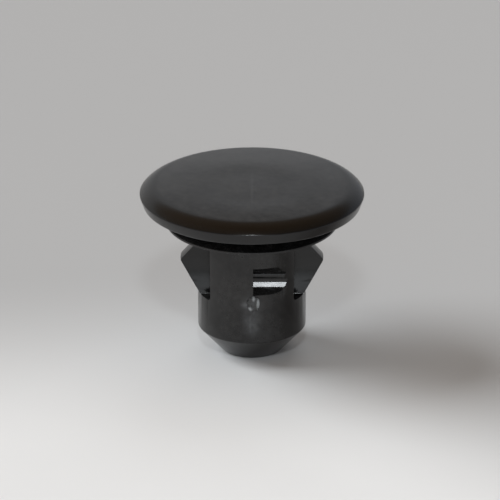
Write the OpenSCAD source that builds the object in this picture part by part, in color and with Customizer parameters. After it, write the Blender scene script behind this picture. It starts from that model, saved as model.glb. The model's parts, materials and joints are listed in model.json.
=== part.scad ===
// Trunk trim clip: a one-piece moulded push-in clip with a domed head, a thin seat skirt
// and a hollow shank with two snap wings. It stands on its tip, with the head up.
// Lengths are in millimetres. Z = 0 is the tip, and the wings lie along X.

/* [Head] */
// Widest diameter of the head, at the upper edge of its rim
head_d = 20; // [17:0.5:26]
// Height of the rim below its upper edge
rim_h = 1; // [0.8:0.05:2]
// How far the rim draws in from its upper edge to its lower one
rim_draft = 0.35; // [0:0.05:0.6]
// Radius of the rolled shoulder between the dome and the rim
shoulder_r = 1.9; // [1.4:0.1:2.2]
// How far the shoulder's centre lies below the rim's upper edge
shoulder_sink = 1.1; // [0.75:0.05:1.25]
// Height of the crown above the rim's upper edge
crown_h = 1.25; // [1:0.05:1.6]
// Rounding of the rim's lower edge
rim_edge_r = 0.2; // [0.05:0.05:0.3]

/* [Skirt] */
// Diameter of the seat skirt under the head
skirt_d = 15.3; // [14.2:0.1:16.5]
// Drop from the head's underside to the skirt's flat seat
skirt_drop = 1.8; // [1.6:0.05:3]
// Thickness of the skirt at its free edge
skirt_edge_t = 0.2; // [0.15:0.05:0.5]
// Width of the flat seat ring at the skirt's edge
seat_w = 0.6; // [0.4:0.05:0.9]
// Thickness of the skirt at the neck
skirt_root_t = 0.75; // [0.5:0.05:1]
// Gap between the head's underside and the skirt at the neck
skirt_root_gap = 0.4; // [0.25:0.05:0.5]
// Diameter of the neck between the head and the skirt
neck_d = 9.9; // [9:0.1:11]

/* [Shank] */
// Diameter of the plain ring of the shank, below the wings
shank_d = 9.66; // [8.8:0.1:10.6]
// How much wider the shank is at the skirt than at its plain ring
shank_taper = 0.1; // [0.04:0.02:0.2]
// Length from the skirt's seat to the tip
shank_l = 12.1; // [11.5:0.1:15]
// Height of the tapered lead-in
lead_h = 2.37; // [1.6:0.1:3.2]
// Diameter of the tip
tip_d = 5.4; // [5:0.1:6.4]
// Rounding of the tip's edge and of the upper edge of the lead-in
tip_edge_r = 0.2; // [0.05:0.05:0.25]
// Diameter of the core hole that opens at the tip
core_d = 4.2; // [3.6:0.1:4.4]
// Thickness left between the core hole and the crown
crown_t = 2.2; // [1.8:0.1:3]

/* [Wings] */
// Thickness of each wing, across its flat faces
wing_t = 1.5; // [1.2:0.1:2]
// Thickness of each wing at its root, where its faces flare out
wing_root_t = 3.2; // [2.2:0.1:3.8]
// Height of the flare at the wing's root
flare_h = 1.9; // [1.2:0.1:2.2]
// Depth of each wing, from the shank's surface in to its free inner face
wing_depth = 1.25; // [0.9:0.05:1.6]
// How far the wing's crest stands out past the shank
wing_reach = 1.6; // [1:0.1:2]
// Drop from the skirt's seat to the free top of the wing
grip_h = 1.55; // [1.2:0.05:2]
// Height of the wing's holding slope, from its free top to its crest
hold_h = 1.8; // [1.2:0.1:2.4]
// Height of the wing's entry ramp, from its crest to its root
ramp_h = 3; // [2.4:0.1:3.6]
// Rounding of the wing's crest
crest_r = 0.2; // [0.05:0.05:0.4]
// Fillet all round the wing's root
wing_root_r = 0.15; // [0.05:0.05:0.3]
// Width of the slot that each wing stands in
slot_w = 6.2; // [5.4:0.1:6.6]
// Drop from the skirt's seat to the top of the slot
slot_top_drop = 0.7; // [0.5:0.05:1]
// Fillet in the slot's other corners
slot_corner_r = 0.3; // [0.1:0.05:0.4]

/* [Side pockets] */
// Distance of the pocket's straight end from the parting plane
pocket_land = 0.1; // [0.05:0.05:0.4]
// Length of the pocket, from its straight end to its round end
pocket_l = 3.05; // [2.6:0.05:3.2]
// Radius of the corners at the pocket's round end
pocket_end_r = 1.2; // [0.6:0.1:1.2]
// Depth of the pocket's flat floor below the shank's surface
pocket_depth = 1.26; // [1:0.02:1.4]
// Drop from the skirt's seat to the pocket's top
pocket_drop = 2.55; // [2.2:0.05:3]
// Height of the pocket
pocket_h = 2.55; // [2.5:0.05:2.9]
// How far the pocket's sloped ceiling comes out from the floor, between the rib and the top
hood_w = 0.75; // [0.5:0.05:0.9]
// Height of the middle of the round rib above the pocket's sill
rib_lift = 1.4; // [1.3:0.02:1.5]
// Radius of the round rib on the pocket's floor
rib_r = 0.26; // [0.15:0.01:0.3]
// Height of the sill's step, below its slope
step_h = 0.4; // [0.3:0.02:0.5]
// How far the sloped step stands out from the pocket's floor
step_w = 0.3; // [0.2:0.02:0.4]
// Height of the slope above the step
slope_h = 0.46; // [0.4:0.02:0.55]

/* [Gate mark] */
// Diameter of the gate's stub on the parting line
gate_d = 1.1; // [0.6:0.1:1.4]
// How far the gate's stub stands out of the shank
gate_h = 0.14; // [0.08:0.02:0.2]
// Drop from the pocket's sill to the middle of the gate's stub
gate_drop = 0.6; // [0.4:0.05:0.8]

/* [Hidden] */
$fn = 96;
// Fine steps for the very flat arc of the dome
dome_fn = 1440;
// Overlap that keeps a cut or a joined piece clear of its neighbour's face
over = 0.5;
// Share of the flare's height that its blend takes up
flare_blend = 0.75;

head_r = head_d / 2;
rim_r = head_r - rim_draft;
skirt_r = skirt_d / 2;
neck_r = neck_d / 2;
shank_r = shank_d / 2;
tip_r = tip_d / 2;
core_r = core_d / 2;
crest_x = shank_r + wing_reach;
wing_in_x = shank_r - wing_depth;

// Levels, from the tip up
seat_z = shank_l;
under_z = seat_z + skirt_drop;
skirt_root_z = under_z - skirt_root_gap;
edge_z = under_z + rim_h;
crown_z = edge_z + crown_h;
core_z = crown_z - crown_t;
wing_top_z = seat_z - grip_h;
crest_z = wing_top_z - hold_h;
root_z = crest_z - ramp_h;
slot_top_z = seat_z - slot_top_drop;
pocket_top_z = seat_z - pocket_drop;
sill_z = pocket_top_z - pocket_h;
gate_z = sill_z - gate_drop;

// The shoulder's arc passes through the rim's upper edge, and the dome is tangent to it
shoulder_z = edge_z - shoulder_sink;
shoulder_x = head_r - sqrt(pow(shoulder_r, 2) - pow(shoulder_sink, 2));
dome_lift = crown_z - shoulder_z;
dome_r = (pow(shoulder_x, 2) + pow(dome_lift, 2) - pow(shoulder_r, 2)) / (2 * (dome_lift - shoulder_r));
dome_z = crown_z - dome_r;
dome_end_x = shoulder_x * dome_r / (dome_r - shoulder_r);

// Half the width that the wing's root takes up with its fillets
root_y = wing_root_t / 2 + wing_root_r;

// Lean of the wing's flare, and the large radius that blends it into the flat face
flare_a = atan((wing_root_t - wing_t) / 2 / flare_h);
flare_r = flare_blend * flare_h / tan(flare_a / 2);

// Distance of the pocket's floor from the shank's axis, and level of the rib on it
floor_y = shank_r - pocket_depth;
rib_z = sill_z + rib_lift;

// Unit vector from a to b
function toward(a, b) = (b - a) / norm(b - a);

// Corner i of an outline as a point
function corner(pts, i) = [pts[i][0], pts[i][1]];

// What rounds corner i: its two tangent points, the arc's centre and whether it bulges out
function rounding(pts, i) =
    let (n = len(pts))
    let (p = corner(pts, i))
    let (u = toward(p, corner(pts, (i + n - 1) % n)))
    let (v = toward(p, corner(pts, (i + 1) % n)))
    let (half = acos(u * v) / 2)
    let (reach = pts[i][2] / tan(half))
    let (middle = (u + v) / norm(u + v) * pts[i][2] / sin(half))
    [p + u * reach, p + v * reach, p + middle, cross(u, v) < 0];

// Slice of a rounding's circle, in a kite round its two tangent points
module slice(pts, i) {
    arc = rounding(pts, i);
    kite = [arc[0], corner(pts, i), arc[1], arc[0] + arc[1] - corner(pts, i)];
    intersection() {
        translate(arc[2]) circle(r = pts[i][2], $fn = 48);
        polygon(kite);
    }
}

// Closed outline, anticlockwise, of corners [x, y, rounding] with true arcs
module outline(pts) {
    rounded = [for (i = [0 : len(pts) - 1]) if (pts[i][2] > 0) i];
    straight = [
        for (i = [0 : len(pts) - 1])
            let (arc = rounding(pts, i))
            each pts[i][2] > 0 ? [arc[0], arc[1]] : [corner(pts, i)]
    ];
    difference() {
        union() {
            polygon(straight);
            for (i = rounded) if (rounding(pts, i)[3]) slice(pts, i);
        }
        for (i = rounded) if (!rounding(pts, i)[3]) slice(pts, i);
    }
}

// Half section of the head, skirt and shank, before the dome trims the top
module body_section() {
    outline([
        [0, 0, 0],
        [tip_r, 0, tip_edge_r],
        [shank_r, lead_h, tip_edge_r],
        [shank_r, root_z, 0],
        [shank_r + shank_taper / 2, skirt_root_z - skirt_root_t, 0],
        [skirt_r - seat_w, seat_z, 0],
        [skirt_r, seat_z, skirt_edge_t / 4],
        [skirt_r, seat_z + skirt_edge_t, skirt_edge_t / 3],
        [neck_r, skirt_root_z, 0],
        [neck_r, under_z, 0],
        [rim_r, under_z, rim_edge_r],
        [head_r, edge_z, 0],
        [head_r, crown_z + over, 0],
        [0, crown_z + over, 0]
    ]);
}

// What lies below the dome and the shoulder
module dome_section() {
    intersection() {
        translate([0, dome_z]) circle(r = dome_r, $fn = dome_fn);
        square([dome_end_x, crown_z + over]);
    }
    intersection() {
        translate([shoulder_x, shoulder_z]) circle(r = shoulder_r);
        translate([dome_end_x, shoulder_z]) square(shoulder_r);
    }
    square([head_r, shoulder_z]);
}

// Head, skirt and shank as one turned body
module turned_body() {
    rotate_extrude($fn = 180)
        intersection() {
            body_section();
            dome_section();
        }
}

// Extrudes a YZ outline along X, from one place to another
module along_x(from, to) {
    translate([from, 0, 0]) rotate([90, 0, 90]) linear_extrude(to - from) children();
}

// Extrudes an XZ outline along Y, from one place to another
module along_y(from, to) {
    translate([0, to, 0]) rotate([90, 0, 0]) linear_extrude(to - from) children();
}

// The slot right through the shank and past the wings, which it leaves standing at its two ends
module wing_slot() {
    side = slot_w / 2;
    face = wing_t / 2;
    root = wing_root_t / 2;
    along_x(-crest_x - over, crest_x + over)
        outline([
            [-side, root_z, slot_corner_r],
            [-root, root_z, wing_root_r],
            [-face, root_z + flare_h, flare_r],
            [-face, wing_top_z, 0],
            [face, wing_top_z, 0],
            [face, root_z + flare_h, flare_r],
            [root, root_z, wing_root_r],
            [side, root_z, slot_corner_r],
            [side, slot_top_z, slot_corner_r],
            [-side, slot_top_z, slot_corner_r]
        ]);
    along_y(-root_y, root_y) wing_gap();
}

// The gap between the two wings, which lets them flex inwards
module wing_gap() {
    gap_top_z = (wing_top_z + slot_top_z) / 2;
    outline([
        [-wing_in_x, root_z, wing_root_r],
        [wing_in_x, root_z, wing_root_r],
        [wing_in_x, gap_top_z, 0],
        [-wing_in_x, gap_top_z, 0]
    ]);
}

// What stands out of the shank for the two wings, with turned holding slopes and entry ramps,
// before the slot trims it
module barbs() {
    intersection() {
        rotate_extrude($fn = 180)
            outline([
                [core_r, root_z, 0],
                [shank_r, root_z, 0],
                [crest_x, crest_z, crest_r],
                [shank_r, wing_top_z, 0],
                [core_r, wing_top_z, 0]
            ]);
        along_x(-crest_x - over, crest_x + over)
            translate([-root_y, root_z - over]) square([2 * root_y, seat_z - root_z]);
    }
}

// Mouth of the pocket, straight at the parting plane and round at its other end
module pocket_mouth() {
    outline([
        [pocket_land, sill_z, 0],
        [pocket_land + pocket_l, sill_z, pocket_end_r],
        [pocket_land + pocket_l, pocket_top_z, pocket_end_r],
        [pocket_land, pocket_top_z, 0]
    ]);
}

// What stands in the pocket: the sloped ceiling, the round rib below it, and the step with its slope
module pocket_forms() {
    polygon([
        [-floor_y, rib_z],
        [-floor_y + over, rib_z],
        [-floor_y + over, pocket_top_z + over],
        [-floor_y - hood_w, pocket_top_z + over],
        [-floor_y - hood_w, pocket_top_z]
    ]);
    translate([-floor_y, rib_z]) circle(r = rib_r, $fn = 48);
    polygon([
        [-floor_y + over, sill_z - over],
        [-floor_y - step_w, sill_z - over],
        [-floor_y - step_w, sill_z + step_h],
        [-floor_y, sill_z + step_h + slope_h],
        [-floor_y + over, sill_z + step_h + slope_h]
    ]);
}

// Blind pocket beside the parting plane
module side_pocket() {
    difference() {
        along_y(-shank_r - over, -floor_y) pocket_mouth();
        along_x(0, shank_r) pocket_forms();
    }
}

// Broken stub where the material entered the mould
module gate_stub() {
    translate([0, -shank_r + over, gate_z]) rotate([90, 0, 0]) cylinder(d = gate_d, h = gate_h + over, $fn = 48);
}

// The whole clip, moulded in one piece
module trim_clip() {
    color([0.09, 0.09, 0.1])
        difference() {
            union() {
                turned_body();
                barbs();
                gate_stub();
            }
            wing_slot();
            translate([0, 0, -over]) cylinder(d = core_d, h = core_z + over);
            for (side = [0, 180]) rotate([0, 0, side]) side_pocket();
        }
}

trim_clip();
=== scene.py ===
"""Looks of a moulded push-in trim clip that stands on its tip on a pale table."""
import json
import math
from types import SimpleNamespace

import bmesh
import bpy
from bpy.props import FloatProperty, FloatVectorProperty, PointerProperty
from mathutils import Matrix, Vector, noise


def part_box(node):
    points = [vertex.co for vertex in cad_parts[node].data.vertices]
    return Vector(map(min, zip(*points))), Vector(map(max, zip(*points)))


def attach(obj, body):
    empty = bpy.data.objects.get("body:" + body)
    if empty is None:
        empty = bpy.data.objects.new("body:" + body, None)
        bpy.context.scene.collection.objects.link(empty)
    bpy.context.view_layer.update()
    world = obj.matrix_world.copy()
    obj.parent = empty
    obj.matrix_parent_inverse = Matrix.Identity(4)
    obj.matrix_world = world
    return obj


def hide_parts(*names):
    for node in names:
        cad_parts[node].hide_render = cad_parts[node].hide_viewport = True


bl_info = {
    "name": "Trim Clip",
    "version": (1, 0, 0),
    "blender": (4, 5, 0),
    "location": "3D View > Sidebar > Trim Clip",
    "description": "Models a moulded push-in trim clip and sets it on a studio table",
    "category": "Object",
}

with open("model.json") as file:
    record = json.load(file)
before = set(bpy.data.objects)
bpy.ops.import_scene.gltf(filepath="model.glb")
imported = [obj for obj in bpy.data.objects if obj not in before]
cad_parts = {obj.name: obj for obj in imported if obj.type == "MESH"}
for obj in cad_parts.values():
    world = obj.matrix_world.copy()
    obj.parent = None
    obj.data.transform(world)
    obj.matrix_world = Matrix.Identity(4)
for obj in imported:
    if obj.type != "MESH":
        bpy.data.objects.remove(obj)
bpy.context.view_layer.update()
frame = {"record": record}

MM = 0.001
NODE = "trim_clip"
MOUNTS = {mount["name"]: mount for mount in frame["record"]["mounts"]}
NODE_LOW, NODE_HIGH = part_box(NODE)
HEAD_D = NODE_HIGH.x - NODE_LOW.x
CLIP_H = NODE_HIGH.z - NODE_LOW.z
SHANK_D = 2 * MOUNTS["shank"]["dims"]["r_mm"] * MM
SEAT_Z = MOUNTS["panel_seat"]["pos_m"][2]

# Steps of the turned body round its axis, of arcs and roundings, and of the table
TURN_STEPS = 384
DOME_STEPS = 40
SHOULDER_STEPS = 16
ROUND_STEPS = 6
RIB_STEPS = 24
EDGE_STEPS = 3
HOLD_STEPS = 5
TABLE_STEPS = 96
# Subdivisions of the torn stub
TEAR_STEPS = 5
# Roundings of the skirt's free edge, above and below, as shares of its thickness
SKIRT_UPPER = 1 / 3
SKIRT_LOWER = 1 / 4
# Overlap in millimetres that keeps a cut or a joined solid clear of its neighbour's face
OVER = 0.5
# Share of the wing flare's height that its blend takes up
FLARE_BLEND = 0.75
# Edges that turn more than this are cut edges, because the turned section is rounded everywhere
CUT_ANGLE = math.radians(32)
# Faces that meet at less than this are shaded smooth
SMOOTH_ANGLE = math.radians(40)
# Where the ragged rim of the torn stub lies, and how wide it is, as shares of the stub's radius
TEAR_RIM = 0.68
TEAR_RIM_WIDTH = 0.2
# Peaks of the ragged rim, as shares of the stub's half width and half height, and how wide they are
TEAR_PEAKS = (Vector((0.8, -0.1)), Vector((0.2, 0.65)), Vector((-0.35, -0.65)))
TEAR_PEAK_WIDTH = 0.45
# Heights of the stub's crater, of its rim above that and of the peaks above the rim, as shares of its stand
TEAR_FLOOR = 0.15
TEAR_RIM_RISE = 0.25
TEAR_PEAK_RISE = 0.5
# Ragged bumps along the torn stub's radius, and the fade, fineness and number of their layers
TEAR_SCALE = 2.6
TEAR_LAYERS = (0.6, 2.0, 3)
# Bulges of the stub's outline along its radius
TEAR_OUTLINE_SCALE = 2.2
# Pale marks of the torn stub (painted highlights for glints on its peaks, partly stress whitening), of the
# skin round it
# and of the crown: middle and reach in millimetres (X to the right, Z up from the gate's middle, or Y to the
# back from the crown's) and strength
TORN_GLINT_MARKS = (
    ((0.42, 0, -0.06), (0.18, 9, 0.8), 1.5),
    ((0.02, 0, 0.46), (0.22, 9, 0.36), 0.75),
    ((-0.3, 0, -0.5), (0.3, 9, 0.34), 0.85),
    ((0, 0, 0), (1, 9, 1.2), 0.12),
)
FLOW_MARKS = (
    ((-0.7, 0, -0.05), (0.6, 0.9, 0.55), 0.55),
    ((-0.2, 0, -0.25), (1.4, 0.9, 1.4), 0.55),
    ((-0.17, 0, -2.0), (1.3, 0.9, 1.6), 0.75),
    ((-0.28, 0, -2.0), (0.14, 0.9, 1.1), 0.45),
)
CROWN_MARKS = (((0, -1.7, 0), (0.17, 6, 1), 0.1),)
# Radii in millimetres between which the skin's bloom is taken away at the head's shoulder, as painted shade
SHOULDER_SHADE_FROM = 8.2
SHOULDER_SHADE_TO = 9.0
# Painted shade on the wings, where their bloom is taken away: middle from the tip's and reach in
# millimetres, and strength
WING_SHADE_MARKS = tuple(((side * 5.2, 0, 8.8), (2.0, 5, 4.2), 1.5) for side in (1, -1))
# Values of each soft mottling where it is lowest and highest
CLOUD_RANGE = (-0.05, 0.55)
SPECKLE_RANGE = (-0.1, 0.52)
FLOW_RANGE = (0.1, 0.85)
TORN_RANGE = (0.6, 1.1)
TABLE_RANGE = (0.0, 1.0)
# Clouds of the flow marks to the millimetre, and how many times finer the stub's are than the skin's
FLOW_SCALE = 1.1
TORN_FINENESS = 8
# Layers of the mottling and how strong the finer ones are, and the part of the noise that fills its range
MOTTLE_DETAIL = 4.0
MOTTLE_ROUGHNESS = 0.55
MOTTLE_LOW = 0.3
MOTTLE_HIGH = 0.7
# Layers of the grain and of its waves, and the waves' scale as a share of the grain's
GRAIN_DETAIL = 3.0
WAVE_DETAIL = 1.0
WAVE_SCALE = 0.12
# Gloss and grain of each plastic: how many times finer than the skin's clouds the gloss changes, how far it
# strays from the roughness both ways, and the grain's waviness, strength and depth in millimetres
SKIN_SHEEN = SimpleNamespace(
    fineness=1.7, smoother=0.025, rougher=0.035, waviness=1.5, strength=0.1, depth=0.02
)
TORN_SHEEN = SimpleNamespace(
    fineness=12, smoother=0.04, rougher=0.16, waviness=0.6, strength=0.5, depth=0.04
)
TABLE_TOOTH = SimpleNamespace(waviness=0.5, strength=0.1, depth=0.05)
# Vertices closer than this, in millimetres, are one
MERGE = 1e-4
# Elevation in degrees at which the studio's glow takes on each colour, above the backdrop's own
GLOW_STOPS = (
    (33, "backdrop"),
    (36, "backdrop_edge"),
    (43, "ceiling_rim"),
    (53, "ceiling_edge"),
    (73, "ceiling"),
    (80, "zenith"),
)


def length(name, description, millimetres):
    """A length property, with its default given in millimetres."""
    return FloatProperty(
        name=name, description=description, default=millimetres * MM, min=0.0, precision=5, unit="LENGTH"
    )


def colour(name, description, rgb):
    """A colour property."""
    return FloatVectorProperty(
        name=name, description=description, default=rgb, min=0.0, max=1.0, size=3, subtype="COLOR"
    )


def angle(name, description, degrees):
    """An angle property, with its default given in degrees."""
    return FloatProperty(name=name, description=description, default=math.radians(degrees), subtype="ANGLE")


def share(name, description, value):
    """A share of a whole, from 0 to 1."""
    return FloatProperty(
        name=name, description=description, default=value, min=0.0, max=1.0, subtype="FACTOR"
    )


def power(name, description, watts):
    """The power of a light."""
    return FloatProperty(name=name, description=description, default=watts, min=0.0, unit="POWER")


class ClipHead(bpy.types.PropertyGroup):
    """Sizes of the domed head"""

    diameter: length("Diameter", "Widest diameter, at the rim's upper edge", HEAD_D / MM)
    height: length("Height", "Height of the crown above the tip", CLIP_H / MM)
    crown_rise: length("Crown rise", "Height of the crown above the rim's upper edge", 1.25)
    rim_height: length("Rim height", "Height of the rim below its upper edge", 1.0)
    rim_draft: length("Rim draft", "How far the rim draws in towards its lower edge", 0.35)
    shoulder_radius: length("Shoulder radius", "Radius of the rolled shoulder", 1.9)
    shoulder_sink: length("Shoulder sink", "Drop from the rim's upper edge to the shoulder's centre", 1.1)
    sink_depth: length("Sink depth", "Depth of the sink mark over the shank", 0.11)
    sink_front: length("Sink front", "How far the sink mark lies in front of the axis", 1.2)
    sink_radius: length("Sink radius", "Radius of the sink mark's slope", 4.1)
    sink_width: length("Sink width", "Half width of the sink mark's slope", 1.3)
    upper_edge: length("Upper edge", "Rounding of the rim's upper edge", 0.15)
    lower_edge: length("Lower edge", "Rounding of the rim's lower edge", 0.2)


class ClipSkirt(bpy.types.PropertyGroup):
    """Sizes of the thin seat skirt under the head"""

    diameter: length("Diameter", "Diameter of the skirt's free edge", 15.3)
    seat_level: length("Seat level", "Height of the flat seat above the tip", SEAT_Z / MM)
    edge_thickness: length("Edge thickness", "Thickness at the free edge", 0.2)
    seat_width: length("Seat width", "Width of the flat seat ring", 0.6)
    root_thickness: length("Root thickness", "Thickness at the neck", 0.75)
    root_gap: length("Root gap", "Gap below the head's underside at the neck", 0.4)
    neck_diameter: length("Neck diameter", "Diameter of the neck above the skirt", 9.9)
    fillet: length("Fillet", "Fillets at the neck and under the skirt", 0.15)


class ClipShank(bpy.types.PropertyGroup):
    """Sizes of the hollow shank"""

    diameter: length("Diameter", "Diameter of the plain ring below the wings", SHANK_D / MM)
    taper: length("Taper", "How much wider the shank is at the skirt", 0.1)
    lead_height: length("Lead-in height", "Height of the tapered lead-in", 2.37)
    tip_diameter: length("Tip diameter", "Diameter of the tip's face", 5.4)
    edge: length("Edge", "Rounding of the tip and of the lead-in's upper edge", 0.2)
    core_diameter: length("Core diameter", "Diameter of the core hole", 4.2)
    core_mouth: length("Core mouth", "Rounding of the core hole's mouth", 0.1)
    crown_thickness: length("Crown thickness", "Thickness left above the core hole", 2.2)
    parting_ridge: length("Parting ridge", "Height of the witness line where the mould parts", 0.008)


class ClipWings(bpy.types.PropertyGroup):
    """Sizes of the two snap wings and of the slot that they stand in"""

    thickness: length("Thickness", "Thickness across the flat faces", 1.5)
    root_thickness: length("Root thickness", "Thickness at the root, where the faces flare out", 3.2)
    flare: length("Flare", "Height of the flare at the root", 1.9)
    depth: length("Depth", "From the shank's surface in to the free inner face", 1.25)
    reach: length("Reach", "How far the crest stands out past the shank", 1.6)
    grip: length("Grip", "Drop from the seat to the wing's free top", 1.55)
    hold_height: length("Holding slope", "Height from the crest to the free top", 1.8)
    ramp_height: length("Entry ramp", "Height from the root to the crest", 3.0)
    crest: length("Crest", "Rounding of the crest", 0.2)
    root_fillet: length("Root fillet", "Fillet all round the root", 0.15)
    slot_width: length("Slot width", "Width of the slot through the shank", 6.2)
    slot_drop: length("Slot drop", "Drop from the seat to the slot's top", 0.7)
    slot_corner: length("Slot corner", "Fillet in the slot's other corners", 0.3)
    hold_edge: length("Holding edge", "Rounding of the holding slope's two edges", 0.17)
    cut_edge: length("Cut edge", "Rounding of the other edges of slots, wings and pockets", 0.035)


class ClipPocket(bpy.types.PropertyGroup):
    """Sizes of the side pockets"""

    land: length("Land", "Distance of the straight end from the parting plane", 0.1)
    width: length("Width", "From the straight end to the round end", 3.05)
    end_radius: length("End radius", "Radius of the corners at the round end", 1.2)
    depth: length("Depth", "Depth of the flat floor below the shank's surface", 1.26)
    drop: length("Drop", "Drop from the seat to the pocket's top", 2.55)
    height: length("Height", "Height of the pocket", 2.55)
    hood_width: length("Hood width", "How far the sloped ceiling comes out from the floor", 0.75)
    rib_lift: length("Rib lift", "Height of the round rib above the sill", 1.5)
    rib_radius: length("Rib radius", "Radius of the round rib", 0.35)
    step_height: length("Step height", "Height of the sill's step, below its slope", 0.4)
    step_width: length("Step width", "How far the step stands out from the floor", 0.3)
    step_undercut: length("Step undercut", "How far the step's foot is set back", 0.12)
    slope_height: length("Slope height", "Height of the slope above the step", 0.46)
    slope_foot: length("Slope foot", "Rounding of the edge between the slope and the step", 0.1)
    slope_fillet: length("Slope fillet", "Fillet between the slope and the floor", 0.3)


class ClipGate(bpy.types.PropertyGroup):
    """Sizes of the broken gate stub"""

    diameter: length("Diameter", "Width of the stub", 1.15)
    height: length("Height", "Height of the stub, which is torn downwards", 1.5)
    stand: length("Stand", "How far the stub stands out of the shank", 0.14)
    drop: length("Drop", "Drop from the pocket's sill to the stub's middle", 0.78)
    side: length("Side", "How far the stub lies to the right of the parting plane", 0.12)
    tear: length("Tear", "Depth of the torn surface", 0.06)
    ragged: share("Ragged", "How far the stub's outline strays from an oval", 0.2)


class ClipFinish(bpy.types.PropertyGroup):
    """Finish of the moulded plastic"""

    plastic: colour("Plastic", "Colour of the moulded plastic", (0.0034, 0.0033, 0.0035))
    bloom: colour("Bloom", "Colour where the skin is slightly paler", (0.0212, 0.0205, 0.0202))
    blush: colour("Gate blush", "Colour of the pale flow marks by the gate", (0.125, 0.13, 0.137))
    # The torn plastic colour is also the painted highlight of the glints on the stub's peaks
    torn: colour("Torn plastic", "Colour of the torn gate stub", (0.37, 0.39, 0.4))
    roughness: share("Roughness", "Roughness of the satin skin", 0.2)
    index: FloatProperty(name="Index", description="Refractive index of the plastic", default=1.45, min=1.0)
    grain: length("Grain", "Size of the fine grain of the skin", 0.16)
    cloud: length("Cloud", "Size of the soft mottling of the skin", 3.4)
    speckle: length("Speckle", "Size of the finer speckle of the skin", 0.55)


class ClipStage(bpy.types.PropertyGroup):
    """Table, lights and camera"""

    table_radius: length("Table radius", "Radius of the table", 3000)
    table: colour("Table", "Colour of the table", (0.74, 0.74, 0.745))
    table_shade: colour("Table shade", "Colour of the table's slightly darker clouds", (0.72, 0.72, 0.725))
    # Painted shade on the table: darker behind the clip and, further forward, on its right, where the light
    # falls off
    table_far_shade: colour("Table far", "Colour of the table behind the clip", (0.42, 0.42, 0.425))
    table_near: FloatProperty(
        name="Near end", description="Where the table starts to darken", default=-20 * MM, unit="LENGTH"
    )
    table_dark: FloatProperty(
        name="Far end", description="Where the table is darkest", default=20 * MM, unit="LENGTH"
    )
    table_right: share("Table right", "How far forward the table darkens on the right", 1.0)
    table_left: share("Table left", "How far forward the table darkens on the left", 0.15)
    table_cloud: length("Table cloud", "Size of the table's soft clouds", 30)
    table_tooth: length("Table tooth", "Size of the table's fine tooth", 0.5)
    table_roughness: share("Table roughness", "Roughness of the table", 0.7)
    backdrop: colour("Backdrop", "Glow of the pale backdrop round the table", (0.61, 0.61, 0.61))
    backdrop_edge: colour("Backdrop edge", "Glow just above the backdrop", (0.43, 0.4, 0.365))
    ceiling_rim: colour("Ceiling rim", "Glow of the ceiling's rim", (0.37, 0.29, 0.22))
    ceiling_edge: colour("Ceiling edge", "Glow of the ceiling's outer part", (0.4, 0.28, 0.18))
    ceiling: colour("Ceiling", "Glow of the ceiling's inner part", (0.46, 0.3, 0.16))
    zenith: colour("Zenith", "Glow straight above", (0.44, 0.26, 0.12))
    vault: share("Vault", "How much lower the ceiling hangs at the sides", 0.25)
    front_dim: share("Front", "Glow of the front, as a share of the back's", 0.65)
    warm_side: colour("Warm side", "Tint of the glow from the left", (1.0, 0.98, 0.95))
    cool_side: colour("Cool side", "Tint of the glow from the right", (0.5, 0.54, 0.61))
    light_distance: length("Light distance", "Distance of the lights from the camera's aim", 600)
    light_colour: colour("Light colour", "Colour of the lights", (0.92, 0.97, 1.0))
    key_elevation: angle("Key elevation", "Elevation of the front light", 44)
    key_azimuth: angle("Key azimuth", "Turn of the front light to the right", 0)
    key_size: length("Key size", "Width of the front light", 50)
    key_power: power("Key power", "Power of the front light", 0.6)
    fill_elevation: angle("Fill elevation", "Elevation of the low front fill", 15)
    fill_width: length("Fill width", "Width of the low front fill", 420)
    fill_height: length("Fill height", "Height of the low front fill", 250)
    fill_power: power("Fill power", "Power of the low front fill", 0.36)
    left_strength: FloatProperty(
        name="Left light", description="Strength of the soft light from the left", default=3.3, min=0.0
    )
    left_elevation: angle("Left elevation", "Elevation of the soft light from the left", 37)
    left_azimuth: angle("Left azimuth", "Turn of the soft light from the left, to the right", -105)
    back_strength: FloatProperty(
        name="Back light", description="Strength of the soft light from behind", default=0.5, min=0.0
    )
    back_elevation: angle("Back elevation", "Elevation of the soft light from behind", 45)
    back_azimuth: angle("Back azimuth", "Turn of the soft light from behind, to the right", 165)
    soft_spread: angle("Soft spread", "How wide the two soft lights are", 36)
    camera_elevation: angle("Camera elevation", "Elevation of the camera", 23)
    camera_distance: length("Camera distance", "Distance of the camera from its aim", 450)
    camera_lens: FloatProperty(
        name="Lens", description="Focal length of the camera, in millimetres", default=363, min=1,
        unit="CAMERA",
    )
    aim_left: length("Aim left", "How far the camera aims to the left of the axis", 0.174)
    aim_height: length("Aim height", "Height that the camera aims at", 9.35)


class ClipSettings(bpy.types.PropertyGroup):
    """All the settings of the clip and its stage"""

    head: PointerProperty(type=ClipHead)
    skirt: PointerProperty(type=ClipSkirt)
    shank: PointerProperty(type=ClipShank)
    wings: PointerProperty(type=ClipWings)
    pocket: PointerProperty(type=ClipPocket)
    gate: PointerProperty(type=ClipGate)
    finish: PointerProperty(type=ClipFinish)
    stage: PointerProperty(type=ClipStage)


def in_mm(group):
    """The values of a property group, with its lengths in millimetres."""
    sizes = {name: getattr(group, name) for name in group.__annotations__}
    for name, rna in group.bl_rna.properties.items():
        if name in sizes and rna.unit == "LENGTH":
            sizes[name] /= MM
    return SimpleNamespace(**sizes)


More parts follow.
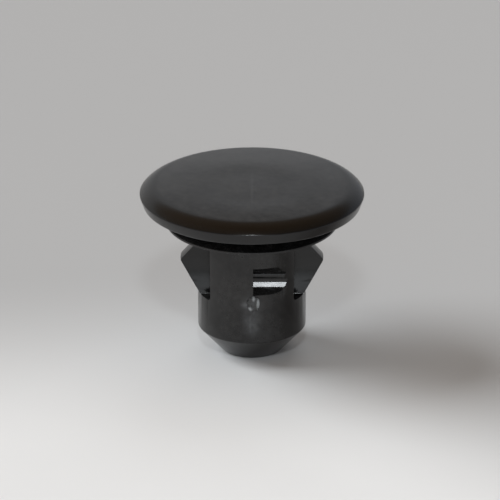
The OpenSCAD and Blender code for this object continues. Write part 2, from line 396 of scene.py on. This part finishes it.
def plan_clip(clip):
    """Sizes of the clip in millimetres, and the radii and levels above the tip that follow from them."""
    plan = SimpleNamespace(
        head=in_mm(clip.head),
        skirt=in_mm(clip.skirt),
        shank=in_mm(clip.shank),
        wings=in_mm(clip.wings),
        pocket=in_mm(clip.pocket),
        gate=in_mm(clip.gate),
    )
    plan.shank_r = plan.shank.diameter / 2
    plan.core_r = plan.shank.core_diameter / 2
    plan.crest_x = plan.shank_r + plan.wings.reach
    plan.wing_in = plan.shank_r - plan.wings.depth
    plan.root_y = plan.wings.root_thickness / 2 + plan.wings.root_fillet
    plan.floor_y = plan.shank_r - plan.pocket.depth
    plan.crown = plan.head.height - plan.shank.parting_ridge
    plan.rim_top = plan.head.height - plan.head.crown_rise
    plan.under = plan.rim_top - plan.head.rim_height
    plan.seat = plan.skirt.seat_level
    plan.skirt_root = plan.under - plan.skirt.root_gap
    plan.core_top = plan.crown - plan.shank.crown_thickness
    plan.wing_top = plan.seat - plan.wings.grip
    plan.crest = plan.wing_top - plan.wings.hold_height
    plan.root = plan.crest - plan.wings.ramp_height
    plan.slot_top = plan.seat - plan.wings.slot_drop
    plan.pocket_top = plan.seat - plan.pocket.drop
    plan.sill = plan.pocket_top - plan.pocket.height
    plan.rib_z = plan.sill + plan.pocket.rib_lift
    plan.gate_at = Vector((plan.gate.side, -plan.shank_r, plan.sill - plan.gate.drop))
    return plan


class Pen:
    """Draws edges in the XZ plane from one vertex to the next, and rounds the marked corners at the end."""

    def __init__(self, x, z, rounding=0.0):
        self.bm = bmesh.new()
        self.corners = []
        self.first = self.bm.verts.new((x, 0, z))
        self.move(self.first, rounding)

    def move(self, vertex, rounding):
        """Goes on from a vertex, which is rounded later if it has a rounding."""
        self.last = vertex
        if rounding:
            self.corners.append((vertex, rounding))

    def line(self, x, z, rounding=0.0):
        """Draws a straight edge to a point."""
        vertex = bmesh.ops.extrude_vert_indiv(self.bm, verts=[self.last])["verts"][0]
        vertex.co = (x, 0, z)
        self.move(vertex, rounding)

    def arc(self, x, z, turn, steps, rounding=0.0):
        """Draws an arc about a centre, clockwise if the turn is positive."""
        made = bmesh.ops.spin(
            self.bm, geom=[self.last], cent=(x, 0, z), axis=(0, 1, 0), angle=turn, steps=steps
        )
        self.move(made["geom_last"][0], rounding)

    def round_corners(self):
        """Rounds every marked corner with an arc of its own radius."""
        for vertex, radius in self.corners:
            ways = [edge.other_vert(vertex).co - vertex.co for edge in vertex.link_edges]
            reach = radius / math.tan(ways[0].angle(ways[1]) / 2)
            bmesh.ops.bevel(
                self.bm, geom=[vertex], offset=reach, offset_type="OFFSET", affect="VERTICES",
                segments=ROUND_STEPS, profile=0.5, material=-1, clamp_overlap=False,
            )

    def close(self):
        """Closes the line and rounds its corners."""
        self.bm.edges.new((self.last, self.first))
        self.round_corners()

    def prism(self, low, high):
        """Closes the line to a face and extrudes it along Y."""
        self.close()
        face = bmesh.ops.contextual_create(self.bm, geom=self.bm.verts[:] + self.bm.edges[:])["faces"][0]
        bmesh.ops.translate(self.bm, verts=self.bm.verts, vec=(0, low, 0))
        made = bmesh.ops.extrude_face_region(self.bm, geom=[face])["geom"]
        verts = [item for item in made if isinstance(item, bmesh.types.BMVert)]
        bmesh.ops.translate(self.bm, verts=verts, vec=(0, high - low, 0))
        bmesh.ops.recalc_face_normals(self.bm, faces=self.bm.faces)
        return self.bm

    def turning(self):
        """Turns the line all the way round the axis."""
        bmesh.ops.spin(
            self.bm, geom=self.bm.verts[:] + self.bm.edges[:], cent=(0, 0, 0), axis=(0, 0, 1),
            angle=2 * math.pi, steps=TURN_STEPS, use_merge=True,
        )
        bmesh.ops.remove_doubles(self.bm, verts=self.bm.verts, dist=MERGE)
        bmesh.ops.recalc_face_normals(self.bm, faces=self.bm.faces)
        return self.bm


def turned(bm, quarters, axis="Z"):
    """Turns a solid by quarter turns about an axis through the tip's middle."""
    turn = Matrix.Rotation(quarters * math.pi / 2, 3, axis)
    bmesh.ops.rotate(bm, verts=bm.verts, cent=(0, 0, 0), matrix=turn)
    return bm


def turned_body(plan):
    """Head, skirt, hollow shank and lead-in, turned from one rounded section."""
    head, skirt, shank = plan.head, plan.skirt, plan.shank
    shoulder_z = plan.rim_top - head.shoulder_sink
    shoulder_lean = math.asin(head.shoulder_sink / head.shoulder_radius)
    shoulder_x = head.diameter / 2 - head.shoulder_radius * math.cos(shoulder_lean)
    lift = plan.crown - shoulder_z
    dome_r = (shoulder_x**2 + lift**2 - head.shoulder_radius**2) / (2 * (lift - head.shoulder_radius))
    dome_turn = math.asin(shoulder_x / (dome_r - head.shoulder_radius))
    skirt_r = skirt.diameter / 2
    neck_r = skirt.neck_diameter / 2
    seat_r = skirt_r - skirt.seat_width

    pen = Pen(0, plan.crown)
    pen.arc(0, plan.crown - dome_r, dome_turn, DOME_STEPS)
    pen.arc(shoulder_x, shoulder_z, math.pi / 2 - dome_turn - shoulder_lean, SHOULDER_STEPS, head.upper_edge)
    pen.line(head.diameter / 2 - head.rim_draft, plan.under, head.lower_edge)
    pen.line(neck_r, plan.under, skirt.fillet)
    pen.line(neck_r, plan.skirt_root, skirt.fillet)
    pen.line(skirt_r, plan.seat + skirt.edge_thickness, skirt.edge_thickness * SKIRT_UPPER)
    pen.line(skirt_r, plan.seat, skirt.edge_thickness * SKIRT_LOWER)
    pen.line(seat_r, plan.seat, skirt.fillet)
    pen.line(plan.shank_r + shank.taper / 2, plan.skirt_root - skirt.root_thickness, skirt.fillet)
    pen.line(plan.shank_r, plan.root)
    pen.line(plan.shank_r, shank.lead_height, shank.edge)
    pen.line(shank.tip_diameter / 2, 0, shank.edge)
    pen.line(plan.core_r, 0, shank.core_mouth)
    pen.line(plan.core_r, plan.core_top, skirt.fillet)
    pen.line(0, plan.core_top)
    pen.round_corners()
    bm = pen.turning()
    sink_crown(bm, plan)
    raise_parting_line(bm, plan)
    return bm


def sink_crown(bm, plan):
    """Lets the crown sink a little where the thick wall of the shank lies under it."""
    head = plan.head
    centre = Vector((0, -head.sink_front))
    for vertex in bm.verts:
        if vertex.co.z > plan.rim_top:
            out = (vertex.co.xy - centre).length - head.sink_radius
            vertex.co.z -= head.sink_depth * math.erfc(out / head.sink_width) / 2


def raise_parting_line(bm, plan):
    """Raises the fine witness line along the plane where the mould parts, on the outside only."""
    bm.normal_update()
    for vertex in bm.verts:
        outside = abs(vertex.co.y) > plan.core_r + MERGE and vertex.co.z > plan.shank.edge
        if abs(vertex.co.x) < MERGE and outside:
            vertex.co += vertex.normal * plan.shank.parting_ridge


def barbs(plan):
    """What stands out of the shank for the two wings, before the slot trims it to thickness."""
    ring = Pen(plan.core_r, plan.root)
    ring.line(plan.shank_r, plan.root)
    ring.line(plan.crest_x, plan.crest, plan.wings.crest)
    ring.line(plan.shank_r, plan.wing_top)
    ring.line(plan.core_r, plan.wing_top)
    ring.close()
    reach = plan.crest_x + OVER
    bar = Pen(-reach, plan.root - OVER)
    bar.line(reach, plan.root - OVER)
    bar.line(reach, plan.seat - OVER)
    bar.line(-reach, plan.seat - OVER)
    return combined(ring.turning(), ("INTERSECT", [bar.prism(-plan.root_y, plan.root_y)]))


def wing_slot(plan):
    """The slot right through the shank and past the wings, which it leaves standing at its two ends."""
    wings = plan.wings
    side = wings.slot_width / 2
    face = wings.thickness / 2
    root = wings.root_thickness / 2
    flare_z = plan.root + wings.flare
    blend = FLARE_BLEND * wings.flare / math.tan(math.atan2(root - face, wings.flare) / 2)
    reach = plan.crest_x + OVER
    pen = Pen(-side, plan.root, wings.slot_corner)
    pen.line(-root, plan.root, wings.root_fillet)
    pen.line(-face, flare_z, blend)
    pen.line(-face, plan.wing_top)
    pen.line(face, plan.wing_top)
    pen.line(face, flare_z, blend)
    pen.line(root, plan.root, wings.root_fillet)
    pen.line(side, plan.root, wings.slot_corner)
    pen.line(side, plan.slot_top, wings.slot_corner)
    pen.line(-side, plan.slot_top, wings.slot_corner)
    return turned(pen.prism(-reach, reach), 1)


def wing_gap(plan):
    """The gap between the two wings, which lets them flex inwards."""
    top = (plan.wing_top + plan.slot_top) / 2
    fillet = plan.wings.root_fillet
    pen = Pen(-plan.wing_in, plan.root, fillet)
    pen.line(plan.wing_in, plan.root, fillet)
    pen.line(plan.wing_in, top)
    pen.line(-plan.wing_in, top)
    return pen.prism(-plan.root_y, plan.root_y)


def pocket_mouth(plan):
    """Recess of the pocket, straight at the parting plane and round at its other end."""
    pocket = plan.pocket
    end = pocket.land + pocket.width
    pen = Pen(pocket.land, plan.sill)
    pen.line(end, plan.sill, pocket.end_radius)
    pen.line(end, plan.pocket_top, pocket.end_radius)
    pen.line(pocket.land, plan.pocket_top)
    return pen.prism(-plan.shank_r - OVER, -plan.floor_y)


def pocket_hood(plan):
    """Sloped ceiling of the pocket, from the rib out to the top."""
    floor = -plan.floor_y
    pen = Pen(floor, plan.rib_z)
    pen.line(floor + OVER, plan.rib_z)
    pen.line(floor + OVER, plan.pocket_top + OVER)
    pen.line(floor - plan.pocket.hood_width, plan.pocket_top + OVER)
    pen.line(floor - plan.pocket.hood_width, plan.pocket_top)
    return turned(pen.prism(-plan.shank_r, plan.shank_r), 1)


def pocket_rib(plan):
    """Round rib along the pocket's floor."""
    bm = bmesh.new()
    radius = plan.pocket.rib_radius
    bmesh.ops.create_cone(
        bm, cap_ends=True, segments=RIB_STEPS, radius1=radius, radius2=radius, depth=2 * plan.shank_r
    )
    turned(bm, 1, "Y")
    bmesh.ops.translate(bm, verts=bm.verts, vec=(0, -plan.floor_y, plan.rib_z))
    return bm


def pocket_step(plan):
    """Undercut step above the sill, with a slope on top."""
    pocket = plan.pocket
    floor = -plan.floor_y
    step_z = plan.sill + pocket.step_height
    slope_z = step_z + pocket.slope_height
    foot = floor - pocket.step_width + pocket.step_undercut
    pen = Pen(floor + OVER, plan.sill - OVER)
    pen.line(foot, plan.sill - OVER)
    pen.line(foot, plan.sill)
    pen.line(floor - pocket.step_width, step_z, pocket.slope_foot)
    pen.line(floor, slope_z, pocket.slope_fillet)
    pen.line(floor, plan.rib_z)
    pen.line(floor + OVER, plan.rib_z)
    return turned(pen.prism(-plan.shank_r, plan.shank_r), 1)


def side_pocket(plan):
    """Blind pocket beside the parting line, with a sloped ceiling, a rib and a step on its floor."""
    return combined(
        pocket_mouth(plan),
        ("DIFFERENCE", [pocket_hood(plan)]),
        ("DIFFERENCE", [pocket_rib(plan)]),
        ("DIFFERENCE", [pocket_step(plan)]),
    )


def gate_stub(plan):
    """Torn stub where the plastic entered the mould, with a ragged, uneven rim round a crater."""
    gate = plan.gate
    size = Vector((gate.diameter, gate.height)) / 2
    bm = bmesh.new()
    bmesh.ops.create_icosphere(bm, subdivisions=TEAR_STEPS, radius=1)
    for vertex in bm.verts:
        spot = vertex.co.copy()
        out = spot.xy.length
        rim = math.exp(-(((out - TEAR_RIM) / TEAR_RIM_WIDTH) ** 2))
        high = max(math.exp(-((spot.xy - peak).length_squared / TEAR_PEAK_WIDTH**2)) for peak in TEAR_PEAKS)
        ragged = gate.tear * noise.fractal(spot * TEAR_SCALE, *TEAR_LAYERS)
        side = 1 + gate.ragged * noise.noise(spot * TEAR_OUTLINE_SCALE)
        vertex.co.xy = spot.xy * size * side
        if spot.z > 0:
            rise = TEAR_FLOOR + rim * (TEAR_RIM_RISE + TEAR_PEAK_RISE * high)
            vertex.co.z = min(gate.stand, gate.stand * rise + ragged)
        else:
            vertex.co.z = spot.z * OVER
    for face in bm.faces:
        face.material_index = 1
    bmesh.ops.recalc_face_normals(bm, faces=bm.faces)
    turned(bm, 1, "X")
    bmesh.ops.translate(bm, verts=bm.verts, vec=plan.gate_at)
    return bm


def new_object(name, bm, materials):
    """An object at the origin with a bmesh's shape and some materials. The bmesh is freed."""
    mesh = bpy.data.meshes.new(name)
    bm.to_mesh(mesh)
    bm.free()
    for material in materials:
        mesh.materials.append(material)
    made = bpy.data.objects.new(name, mesh)
    bpy.context.scene.collection.objects.link(made)
    return made


def solid_object(name, solids):
    """One object of several solids, with room for the clip's two materials."""
    mesh = bpy.data.meshes.new(name)
    whole = bmesh.new()
    for solid in solids:
        solid.to_mesh(mesh)
        whole.from_mesh(mesh)
        solid.free()
    bpy.data.meshes.remove(mesh)
    return new_object(name, whole, (None, None))


def combined(first, *steps):
    """A solid with other solids joined to it, or cut out of it, one step after the other."""
    body = solid_object("body", [first])
    tools = []
    for operation, solids in steps:
        tool = solid_object(operation.lower(), solids)
        tools.append(tool)
        modifier = body.modifiers.new(operation.title(), "BOOLEAN")
        modifier.operation = operation
        modifier.solver = "EXACT"
        modifier.object = tool
    bm = bmesh.new()
    bm.from_object(body, bpy.context.evaluated_depsgraph_get())
    for used in (body, *tools):
        bpy.data.objects.remove(used)
    bmesh.ops.remove_doubles(bm, verts=bm.verts, dist=MERGE)
    bmesh.ops.dissolve_degenerate(bm, edges=bm.edges, dist=MERGE)
    bm.normal_update()
    return bm


def sharp_edges(bm):
    """The edges that the cuts left, apart from those of the torn gate stub."""
    return [
        edge for edge in bm.edges
        if len(edge.link_faces) == 2
        and edge.calc_face_angle() > CUT_ANGLE
        and not any(face.material_index for face in edge.link_faces)
    ]


def round_edges(bm, edges, size, steps):
    """Rounds some edges of a solid."""
    bmesh.ops.bevel(
        bm, geom=edges, offset=size, offset_type="OFFSET", affect="EDGES", segments=steps, profile=0.5,
        material=-1, clamp_overlap=True, loop_slide=True,
    )
    bm.normal_update()


def round_cut_edges(bm, plan):
    """Rounds the wings' holding edges well, and every other cut edge a little."""
    face = plan.wings.thickness / 2

    def holds(edge):
        """Whether an edge lies along a holding slope, on the outside of its wing."""
        outside = any(abs(vertex.co.x) > plan.wing_in + MERGE for vertex in edge.verts)
        return outside and all(
            abs(abs(vertex.co.y) - face) < MERGE
            and vertex.co.z > plan.crest
            and abs(vertex.co.x) > plan.wing_in - MERGE
            for vertex in edge.verts
        )

    round_edges(bm, [edge for edge in sharp_edges(bm) if holds(edge)], plan.wings.hold_edge, HOLD_STEPS)
    round_edges(bm, sharp_edges(bm), plan.wings.cut_edge, EDGE_STEPS)


def add_node(tree, kind, inputs=None, **settings):
    """Adds a node, with its settings and its inputs as values or as sockets to link from."""
    made = tree.nodes.new(kind)
    for name, value in settings.items():
        setattr(made, name, value)
    for name, value in (inputs or {}).items():
        if isinstance(value, bpy.types.NodeSocket):
            tree.links.new(value, made.inputs[name])
        else:
            made.inputs[name].default_value = value
    return made


def reckon(tree, operation, *values, clamp=False):
    """The result of a sum on values or sockets."""
    inputs = dict(enumerate(values))
    return add_node(tree, "ShaderNodeMath", inputs, operation=operation, use_clamp=clamp).outputs["Value"]


def faded(tree, value, low, high):
    """Mask that rises smoothly from 0 to 1 as a value goes from low to high."""
    ends = {"Value": value, "From Min": low, "From Max": high}
    return add_node(tree, "ShaderNodeMapRange", ends, interpolation_type="SMOOTHSTEP").outputs["Result"]


def spread(tree, value, low, high):
    """A value that goes from low to high as a part of a direction goes from -1 to 1."""
    ends = {"Value": value, "From Min": -1.0, "From Max": 1.0, "To Min": low, "To Max": high}
    return add_node(tree, "ShaderNodeMapRange", ends).outputs["Result"]


def new_material(name):
    """An empty material with its node tree, its shader and the place on the piece to work from."""
    material = bpy.data.materials.new(name)
    material.use_nodes = True
    tree = material.node_tree
    place = add_node(tree, "ShaderNodeTexCoord").outputs["Object"]
    return material, tree, tree.nodes["Principled BSDF"], place


def new_group(name, inputs, outputs):
    """An empty node group with named inputs and outputs, and its two end nodes."""
    tree = bpy.data.node_groups.new(name, "ShaderNodeTree")
    for socket, kind in inputs.items():
        tree.interface.new_socket(name=socket, in_out="INPUT", socket_type=kind)
    for socket, kind in outputs.items():
        tree.interface.new_socket(name=socket, in_out="OUTPUT", socket_type=kind)
    return tree, add_node(tree, "NodeGroupInput").outputs, add_node(tree, "NodeGroupOutput").inputs


def soft_mottle():
    """Node group of soft clouds between two values."""
    tree, given, put = new_group(
        "soft_mottle",
        {
            "Vector": "NodeSocketVector",
            "Scale": "NodeSocketFloat",
            "Low": "NodeSocketFloat",
            "High": "NodeSocketFloat",
        },
        {"Value": "NodeSocketFloat"},
    )
    clouds = add_node(
        tree, "ShaderNodeTexNoise",
        {
            "Vector": given["Vector"],
            "Scale": given["Scale"],
            "Detail": MOTTLE_DETAIL,
            "Roughness": MOTTLE_ROUGHNESS,
        },
    )
    value = add_node(
        tree, "ShaderNodeMapRange",
        {
            "Value": clouds.outputs["Fac"],
            "From Min": MOTTLE_LOW,
            "From Max": MOTTLE_HIGH,
            "To Min": given["Low"],
            "To Max": given["High"],
        },
    )
    tree.links.new(value.outputs["Result"], put["Value"])
    return tree


def fine_grain():
    """Node group of a fine grain with some broader waviness, as a height."""
    tree, given, put = new_group(
        "fine_grain",
        {"Vector": "NodeSocketVector", "Scale": "NodeSocketFloat", "Waviness": "NodeSocketFloat"},
        {"Height": "NodeSocketFloat"},
    )
    coarse = reckon(tree, "MULTIPLY", given["Scale"], WAVE_SCALE)
    grain, waves = (
        add_node(
            tree, "ShaderNodeTexNoise", {"Vector": given["Vector"], "Scale": scale, "Detail": detail}
        ).outputs["Fac"]
        for scale, detail in ((given["Scale"], GRAIN_DETAIL), (coarse, WAVE_DETAIL))
    )
    tree.links.new(reckon(tree, "MULTIPLY_ADD", waves, given["Waviness"], grain), put["Height"])
    return tree


def soft_spot():
    """Node group of a mask that fades from its middle to nothing at its reach."""
    tree, given, put = new_group(
        "soft_spot",
        {"Vector": "NodeSocketVector", "Middle": "NodeSocketVector", "Reach": "NodeSocketVector"},
        {"Value": "NodeSocketFloat"},
    )
    local = add_node(
        tree, "ShaderNodeMapping",
        {"Vector": given["Vector"], "Location": given["Middle"], "Scale": given["Reach"]},
        vector_type="TEXTURE",
    ).outputs["Vector"]
    spot = add_node(tree, "ShaderNodeTexGradient", {"Vector": local}, gradient_type="SPHERICAL")
    tree.links.new(faded(tree, spot.outputs["Fac"], 0.0, 1.0), put["Value"])
    return tree


def effect(tree, name, **inputs):
    """Places one of the shared effects in a material, and gives its output."""
    group = bpy.data.node_groups.get(name) or EFFECTS[name]()
    return add_node(tree, "ShaderNodeGroup", inputs, node_tree=group).outputs[0]


EFFECTS = {"soft_mottle": soft_mottle, "fine_grain": fine_grain, "soft_spot": soft_spot}


def mixed(tree, factor, first, second, blend="MIX"):
    """Mixes two colours by a factor. Each is a colour or a socket."""
    node = add_node(tree, "ShaderNodeMix", {"Factor": factor}, data_type="RGBA", blend_type=blend)
    for socket, value in ((node.inputs["A"], first), (node.inputs["B"], second)):
        if isinstance(value, bpy.types.NodeSocket):
            tree.links.new(value, socket)
        else:
            socket.default_value = (*value, 1)
    return node.outputs["Result"]


def mottle(tree, place, scale, ends):
    """Soft clouds between two end values."""
    return effect(tree, "soft_mottle", Vector=place, Scale=scale, Low=ends[0], High=ends[1])


def grain_normal(tree, place, size, grain):
    """Normal of a fine grain of some size."""
    height = effect(tree, "fine_grain", Vector=place, Scale=1 / size, Waviness=grain.waviness)
    relief = {"Height": height, "Strength": grain.strength, "Distance": grain.depth * MM}
    return add_node(tree, "ShaderNodeBump", relief).outputs["Normal"]


def soft_marks(tree, place, base, marks):
    """Mask of soft marks, each placed from a base in millimetres."""
    total = 0.0
    for middle, reach, strength in marks:
        spot = effect(
            tree, "soft_spot", Vector=place, Middle=(base + Vector(middle)) * MM, Reach=Vector(reach) * MM
        )
        total = reckon(tree, "MULTIPLY_ADD", spot, strength, total, clamp=True)
    return total


def bloom_less_painted_shade(tree, place, finish):
    """Mask of the skin's mottled bloom, taken away on the wings and at the head's shoulder as painted shade.
    """
    clouds = mottle(tree, place, 1 / finish.cloud, CLOUD_RANGE)
    speckles = mottle(tree, place, 1 / finish.speckle, SPECKLE_RANGE)
    flat = add_node(tree, "ShaderNodeMapping", {"Vector": place, "Scale": (1, 1, 0)}).outputs["Vector"]
    out = add_node(tree, "ShaderNodeVectorMath", {0: flat}, operation="LENGTH").outputs["Value"]
    # Painted shade: no bloom on the head's shoulder, so it lies darker
    shoulder = faded(tree, out, SHOULDER_SHADE_FROM * MM, SHOULDER_SHADE_TO * MM)
    painted_shade = reckon(tree, "ADD", soft_marks(tree, place, Vector(), WING_SHADE_MARKS), shoulder)
    return reckon(tree, "SUBTRACT", reckon(tree, "ADD", clouds, speckles), painted_shade, clamp=True)


def gate_blush(tree, place, plan):
    """Mask of the pale, blotchy flow marks round the gate and down the shank below it."""
    patch = soft_marks(tree, place, plan.gate_at, FLOW_MARKS)
    return reckon(tree, "MULTIPLY", patch, mottle(tree, place, FLOW_SCALE / MM, FLOW_RANGE), clamp=True)


def dress(tree, shader, place, finish, tint, sheen):
    """Gives a plastic its tint, its uneven gloss and its grain."""
    ends = (finish.roughness - sheen.smoother, finish.roughness + sheen.rougher)
    tree.links.new(tint, shader.inputs["Base Color"])
    tree.links.new(mottle(tree, place, sheen.fineness / finish.cloud, ends), shader.inputs["Roughness"])
    tree.links.new(grain_normal(tree, place, finish.grain, sheen), shader.inputs["Normal"])
    shader.inputs["IOR"].default_value = finish.index


def moulded_skin(finish, plan):
    """Satin black skin with a mottled bloom, painted shade on the wings and the shoulder, a line across the
    crown and pale flow marks by the gate.
    """
    material, tree, shader, place = new_material("moulded_skin")
    tint = mixed(tree, bloom_less_painted_shade(tree, place, finish), finish.plastic, finish.bloom)
    line = soft_marks(tree, place, Vector((0, 0, plan.crown)), CROWN_MARKS)
    marks = reckon(tree, "ADD", gate_blush(tree, place, plan), line)
    dress(tree, shader, place, finish, mixed(tree, marks, tint, finish.blush), SKIN_SHEEN)
    return material


def torn_plastic(finish, plan):
    """Plastic of the torn gate stub, whitened where it was stretched and painted pale on its peaks for
    glints, with a glinting grain.
    """
    material, tree, shader, place = new_material("torn_plastic")
    # Painted highlights: pale glints on the stub's peaks, partly stress whitening
    stretch_and_glints = soft_marks(tree, place, plan.gate_at, TORN_GLINT_MARKS)
    clouds = mottle(tree, place, TORN_FINENESS / finish.cloud, TORN_RANGE)
    whitening_and_glints = reckon(tree, "MULTIPLY", stretch_and_glints, clouds, clamp=True)
    dress(tree, shader, place, finish, mixed(tree, whitening_and_glints, finish.bloom, finish.torn), TORN_SHEEN)
    return material


def table_paper(stage):
    """Plain pale table with a faint paper tooth, and painted shade that darkens it towards the back and on
    the right.
    """
    material, tree, shader, place = new_material("table_paper")
    clouds = mottle(tree, place, 1 / stage.table_cloud, TABLE_RANGE)
    parts = add_node(tree, "ShaderNodeSeparateXYZ", {"Vector": place}).outputs
    right, left = (
        reckon(tree, "MULTIPLY_ADD", parts["X"], fan, parts["Y"])
        for fan in (stage.table_right, -stage.table_left)
    )
    # Painted shade: the table darkens towards the back and on the right
    far = faded(tree, reckon(tree, "MAXIMUM", right, left), stage.table_near, stage.table_dark)
    near = mixed(tree, clouds, stage.table, stage.table_shade)
    tree.links.new(mixed(tree, far, near, stage.table_far_shade), shader.inputs["Base Color"])
    tree.links.new(grain_normal(tree, place, stage.table_tooth, TABLE_TOOTH), shader.inputs["Normal"])
    shader.inputs["Roughness"].default_value = stage.table_roughness
    return material


class TRIM_CLIP_OT_mould(bpy.types.Operator):
    """Models the whole clip as one moulded piece"""

    bl_idname = "trim_clip.mould"
    bl_label = "Mould Clip"

    def execute(self, context):
        clip = context.scene.trim_clip
        plan = plan_clip(clip)
        bm = combined(
            turned_body(plan),
            ("UNION", [barbs(plan)]),
            ("UNION", [gate_stub(plan)]),
            ("DIFFERENCE", [wing_slot(plan)]),
            ("DIFFERENCE", [wing_gap(plan)]),
            ("DIFFERENCE", [turned(side_pocket(plan), quarters) for quarters in (0, 2)]),
        )
        round_cut_edges(bm, plan)
        bmesh.ops.scale(bm, verts=bm.verts, vec=(MM, MM, MM))
        for face in bm.faces:
            face.smooth = True
        skins = moulded_skin(clip.finish, plan), torn_plastic(clip.finish, plan)
        piece = new_object("clip_moulding", bm, skins)
        piece.data.set_sharp_from_angle(angle=SMOOTH_ANGLE)
        normals = piece.modifiers.new("Even normals", "WEIGHTED_NORMAL")
        normals.keep_sharp = True
        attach(piece, "root")
        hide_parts(NODE)
        return {"FINISHED"}


def from_aim(aim, distance, elevation, azimuth):
    """The point at a distance from the aim, in front of it and turned to the right by the azimuth."""
    flat = distance * math.cos(elevation)
    rise = distance * math.sin(elevation)
    return aim + Vector((flat * math.sin(azimuth), -flat * math.cos(azimuth), rise))


def pointed(made, place, aim):
    """Puts a light or camera in its place, pointed at the aim."""
    made.location = place
    made.rotation_euler = (aim - place).to_track_quat("-Z", "Y").to_euler()
    bpy.context.scene.collection.objects.link(made)
    return made


def add_light(stage, aim, name, kind, energy, elevation, azimuth, **settings):
    """Adds a light that points at the aim, with its settings."""
    light = bpy.data.lights.new(name, kind)
    light.energy = energy
    light.color = stage.light_colour
    for setting, value in settings.items():
        setattr(light, setting, value)
    place = from_aim(aim, stage.light_distance, elevation, azimuth)
    return pointed(bpy.data.objects.new(name, light), place, aim)


def studio_glow(stage):
    """World with a pale backdrop and a warm ceiling, dimmer in front, with a warmer and a cooler side."""
    world = bpy.data.worlds.new("studio_glow")
    world.use_nodes = True
    tree = world.node_tree
    way = add_node(tree, "ShaderNodeTexCoord").outputs["Generated"]
    parts = add_node(tree, "ShaderNodeSeparateXYZ", {"Vector": way}).outputs
    aside = reckon(tree, "MULTIPLY", parts["X"], parts["X"])
    height = reckon(tree, "MULTIPLY_ADD", aside, stage.vault, parts["Z"])
    rise = add_node(tree, "ShaderNodeValToRGB", {"Fac": height})
    stops = rise.color_ramp.elements
    stops.remove(stops[1])
    stops[0].color = (*stage.backdrop, 1)
    for elevation, name in GLOW_STOPS:
        stop = stops.new(math.sin(math.radians(elevation)))
        stop.color = (*getattr(stage, name), 1)
    tint = mixed(tree, spread(tree, parts["X"], 0.0, 1.0), stage.warm_side, stage.cool_side)
    glow = mixed(tree, 1.0, rise.outputs["Color"], tint, "MULTIPLY")
    background = tree.nodes["Background"].inputs
    tree.links.new(glow, background["Color"])
    tree.links.new(spread(tree, parts["Y"], stage.front_dim, 1.0), background["Strength"])
    return world


class TRIM_CLIP_OT_stage(bpy.types.Operator):
    """Sets the clip on a pale table, with soft studio light and the camera"""

    bl_idname = "trim_clip.stage"
    bl_label = "Set Stage"

    def execute(self, context):
        scene = context.scene
        stage = scene.trim_clip.stage
        aim = Vector((-stage.aim_left, 0, stage.aim_height))

        bm = bmesh.new()
        bmesh.ops.create_circle(bm, cap_ends=True, segments=TABLE_STEPS, radius=stage.table_radius)
        table = new_object("table", bm, [table_paper(stage)])

        add_light(
            stage, aim, "key", "AREA", stage.key_power, stage.key_elevation, stage.key_azimuth,
            size=stage.key_size,
        )
        add_light(
            stage, aim, "fill", "AREA", stage.fill_power, stage.fill_elevation, 0,
            shape="RECTANGLE", size=stage.fill_width, size_y=stage.fill_height,
        )
        for name, strength, elevation, azimuth in (
            ("left", stage.left_strength, stage.left_elevation, stage.left_azimuth),
            ("back", stage.back_strength, stage.back_elevation, stage.back_azimuth),
        ):
            sun = add_light(
                stage, aim, name, "SUN", strength, elevation, azimuth, angle=stage.soft_spread
            )
            sun.visible_glossy = False

        scene.world = studio_glow(stage)
        scene.view_settings.view_transform = "Standard"

        lens = bpy.data.cameras.new("camera")
        lens.lens = stage.camera_lens
        place = from_aim(aim, stage.camera_distance, stage.camera_elevation, 0)
        scene.camera = pointed(bpy.data.objects.new("camera", lens), place, aim)
        return {"FINISHED"}


class TRIM_CLIP_PT_panel(bpy.types.Panel):
    """Lists the clip's settings and operators"""

    bl_idname = "TRIM_CLIP_PT_panel"
    bl_label = "Trim Clip"
    bl_space_type = "VIEW_3D"
    bl_region_type = "UI"
    bl_category = "Trim Clip"

    def draw(self, context):
        settings = context.scene.trim_clip
        for operator, groups in PANEL_ROWS:
            for group in groups:
                box = self.layout.box()
                box.label(text=group.title())
                for name in getattr(settings, group).__annotations__:
                    box.prop(getattr(settings, group), name)
            self.layout.operator(operator)


PANEL_ROWS = (
    ("trim_clip.mould", ("head", "skirt", "shank", "wings", "pocket", "gate", "finish")),
    ("trim_clip.stage", ("stage",)),
)

CLASSES = (
    ClipHead,
    ClipSkirt,
    ClipShank,
    ClipWings,
    ClipPocket,
    ClipGate,
    ClipFinish,
    ClipStage,
    ClipSettings,
    TRIM_CLIP_OT_mould,
    TRIM_CLIP_OT_stage,
    TRIM_CLIP_PT_panel,
)


def register():
    """Registers the classes and hangs the settings on the scene."""
    for kind in CLASSES:
        bpy.utils.register_class(kind)
    bpy.types.Scene.trim_clip = PointerProperty(type=ClipSettings)


def unregister():
    """Takes the settings off the scene and unregisters the classes."""
    del bpy.types.Scene.trim_clip
    for kind in reversed(CLASSES):
        bpy.utils.unregister_class(kind)


def main():
    """Makes the clip and its stage."""
    register()
    bpy.ops.trim_clip.mould()
    bpy.ops.trim_clip.stage()


if __name__ == "__main__":
    main()
